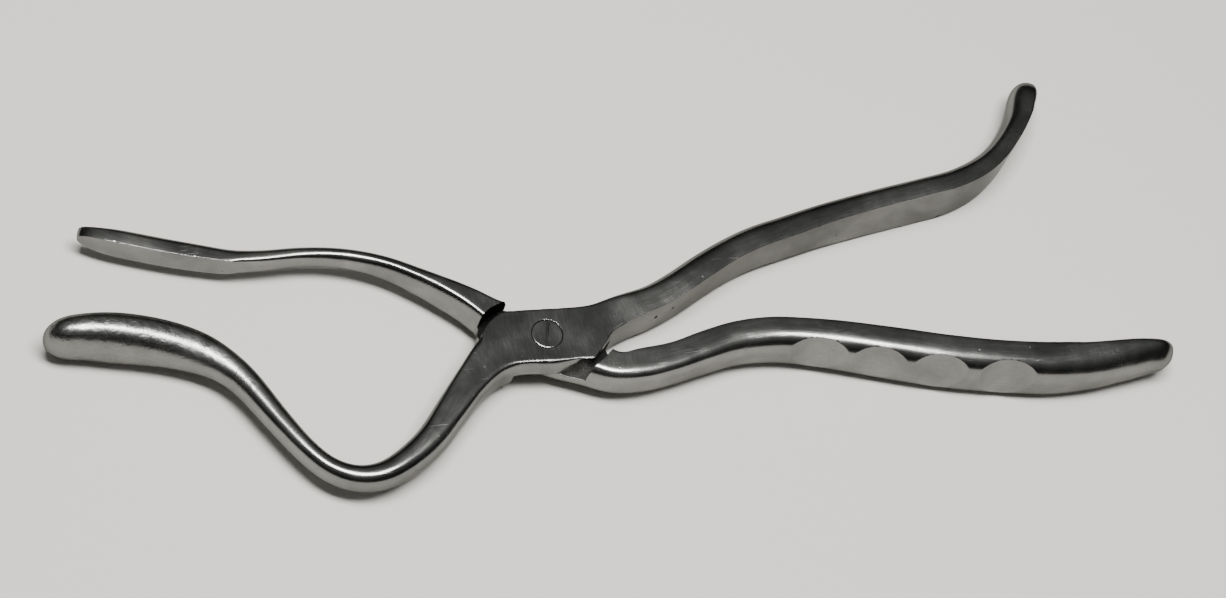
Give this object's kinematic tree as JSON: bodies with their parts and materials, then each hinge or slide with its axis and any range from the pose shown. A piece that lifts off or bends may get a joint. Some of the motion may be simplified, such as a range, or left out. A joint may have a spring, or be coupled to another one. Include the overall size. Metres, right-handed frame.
{
  "type": "maxillary disimpaction forceps",
  "caption": "Steel scissor-type forceps with one thin flat blade, one bowed thick blade, a half-lap screw joint, a hooked handle and a scalloped handle.",
  "frame": {"origin": "on the pivot screw's axis, at the flat underside of the lap joint", "axes": "+X towards the handles (longest extent), +Y to the side of the thin flat blade and the hooked handle, +Z along the screw axis out of its slotted head (shortest extent)"},
  "size_m": [0.2488, 0.0818, 0.0134],
  "materials": {
    "steel_upper": "satin",
    "steel_lower": "satin",
    "steel_screw": "satin"
  },
  "bodies": {
    "lower_body": {"lower_half": "steel_lower", "pivot_screw": "steel_screw"},
    "upper_body": {"upper_half": "steel_upper"}
  },
  "joints": [
    {"name": "pivot", "type": "hinge", "parent": "lower_body", "child": "upper_body", "pos_m": [0, 0, 0], "axis": [0, 0, 1], "range_deg": [-10, 35]}
  ]
}
